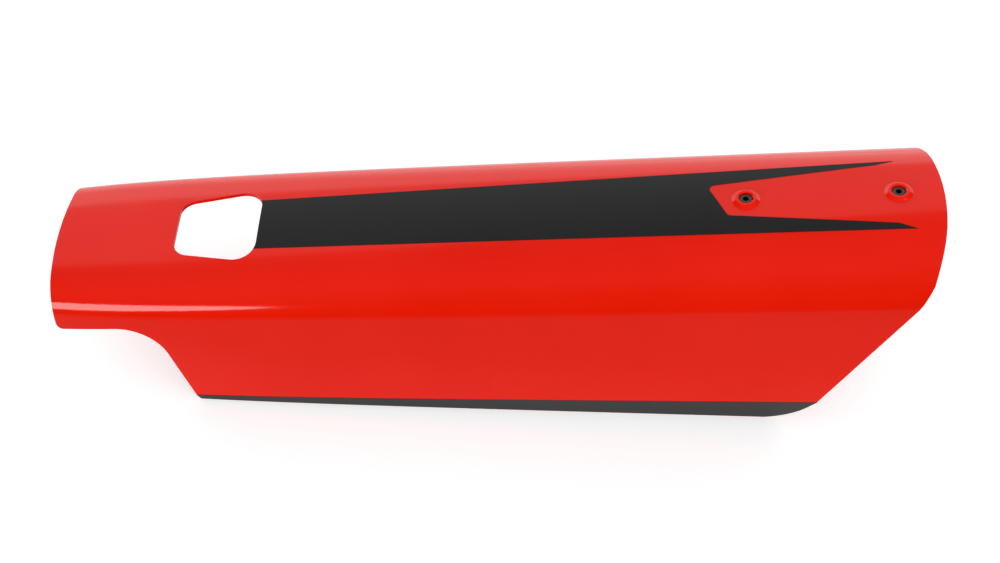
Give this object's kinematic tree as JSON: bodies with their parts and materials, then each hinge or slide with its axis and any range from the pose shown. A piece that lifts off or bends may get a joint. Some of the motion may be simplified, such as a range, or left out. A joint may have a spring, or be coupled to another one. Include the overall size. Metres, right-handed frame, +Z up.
{
  "type": "battery cover",
  "caption": "Channel-shaped moulded battery cover with a rounded window, turned-in skirt edges and captive cap screws in raised bosses.",
  "frame": {"origin": "middle of the length and width, on the plane that the two skirt edges stand on", "axes": "+X from the nose to the screw end, +Y across to the far side, +Z up through the crown"},
  "size_m": [0.47, 0.1224, 0.1294],
  "materials": {
    "painted_shell": "high-gloss red lacquer",
    "black_film": "matte black film",
    "screw_steel": "dark zinc",
    "washer_plastic": "moulded black"
  },
  "bodies": {
    "root": {"cover_shell": "painted_shell", "crown_film": "black_film", "near_skirt_film": "black_film", "far_skirt_film": "black_film", "front_screw": "screw_steel", "rear_screw": "screw_steel", "front_washer": "washer_plastic", "rear_washer": "washer_plastic"}
  },
  "joints": []
}
